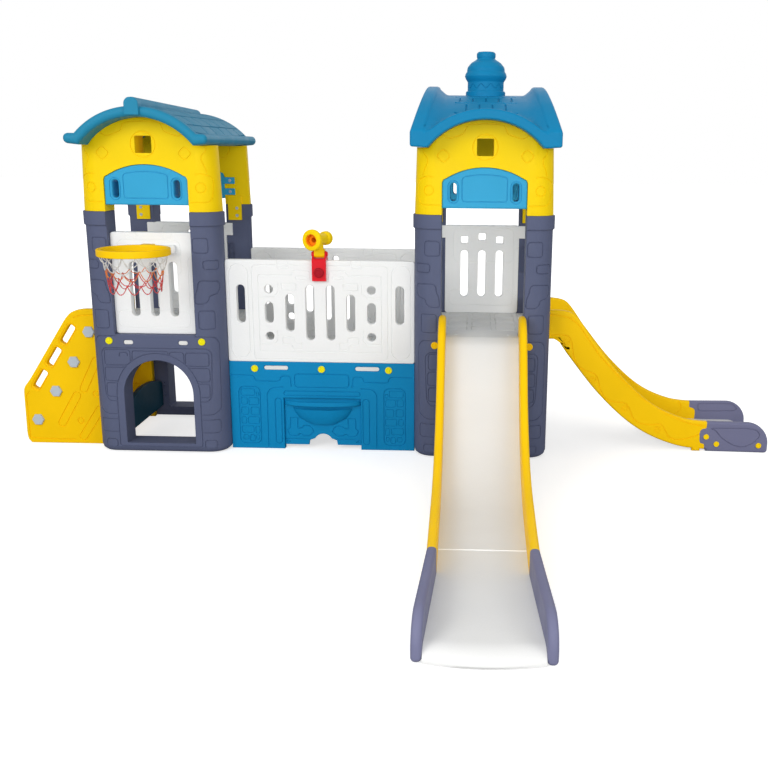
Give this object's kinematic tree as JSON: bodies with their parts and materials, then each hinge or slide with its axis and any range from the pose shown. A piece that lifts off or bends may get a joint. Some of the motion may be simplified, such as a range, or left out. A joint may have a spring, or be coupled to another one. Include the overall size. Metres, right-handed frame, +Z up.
{
  "type": "playhouse with slides",
  "caption": "Indoor play set: two roofed towers joined by a fenced bridge, with a long front slide, a side slide, a bolted climber, a net hoop and a toy telescope.",
  "frame": {"origin": "middle of the bounding box on the floor", "axes": "+X along the set from the climber to the side slide, +Y from the front slide's toe to the back, +Z up"},
  "size_m": [3.904, 2.93, 2.0103],
  "materials": {
    "slate": "moulded, fine grain",
    "foot_grey": "moulded, fine grain",
    "yellow": "moulded, satin gloss",
    "white": "moulded, satin gloss",
    "cream": "moulded, satin gloss",
    "sky_blue": "moulded, satin gloss",
    "blue": "moulded, satin gloss",
    "navy": "moulded, fine grain",
    "red": "moulded, satin gloss",
    "orange": "moulded, satin gloss",
    "bolt_grey": "moulded, satin gloss",
    "cord": "knotted cord"
  },
  "bodies": {
    "root": {"bridge_back_base": "blue", "bridge_back_fence": "white", "bridge_basin": "blue", "bridge_cap_1": "yellow", "bridge_cap_2": "yellow", "bridge_cap_3": "yellow", "bridge_deck": "cream", "bridge_front_base": "blue", "bridge_front_fence": "white", "climber_bolt_1": "bolt_grey", "climber_bolt_2": "bolt_grey", "climber_bolt_3": "bolt_grey", "climber_bolt_4": "bolt_grey", "climber_far_panel": "yellow", "climber_near_panel": "yellow", "climber_tread_1": "yellow", "climber_tread_2": "yellow", "climber_tread_3": "yellow", "climber_tread_4": "yellow", "front_slide_left_foot": "foot_grey", "front_slide_left_rail": "yellow", "front_slide_lower_bed": "cream", "front_slide_right_foot": "foot_grey", "front_slide_right_rail": "yellow", "front_slide_upper_bed": "cream", "hoop_bracket": "white", "hoop_net": "cord", "hoop_ring": "yellow", "left_back_fence": "white", "left_back_gable": "yellow", "left_back_visor": "sky_blue", "left_back_wall": "slate", "left_deck": "cream", "left_front_fence": "white", "left_front_gable": "yellow", "left_front_visor": "sky_blue", "left_front_wall": "slate", "left_roof": "sky_blue", "left_side_board": "navy", "right_back_fence": "white", "right_back_gable": "yellow", "right_back_visor": "sky_blue", "right_back_wall": "slate", "right_deck": "cream", "right_front_gable": "yellow", "right_front_visor": "sky_blue", "right_front_wall": "slate", "right_roof": "sky_blue", "roof_finial": "sky_blue", "side_slide_bed": "cream", "side_slide_far_foot": "foot_grey", "side_slide_far_rail": "yellow", "side_slide_near_foot": "foot_grey", "side_slide_near_rail": "yellow", "telescope_clamp": "red", "telescope_clamp_screw": "red", "telescope_hinge_pin": "red"},
    "telescope_neck_body": {"telescope_neck": "yellow"},
    "telescope_tube_body": {"telescope_tube": "yellow", "telescope_liner": "orange"}
  },
  "joints": [
    {"name": "telescope_tilt", "type": "hinge", "parent": "root", "child": "telescope_neck_body", "pos_m": [-0.372, 0.665, 1.018], "axis": [1, 0, 0], "range_deg": [-30, 30]},
    {"name": "telescope_swivel", "type": "hinge", "parent": "telescope_neck_body", "child": "telescope_tube_body", "pos_m": [-0.372, 0.665, 1.043], "axis": [0, 0, 1], "continuous": true}
  ]
}
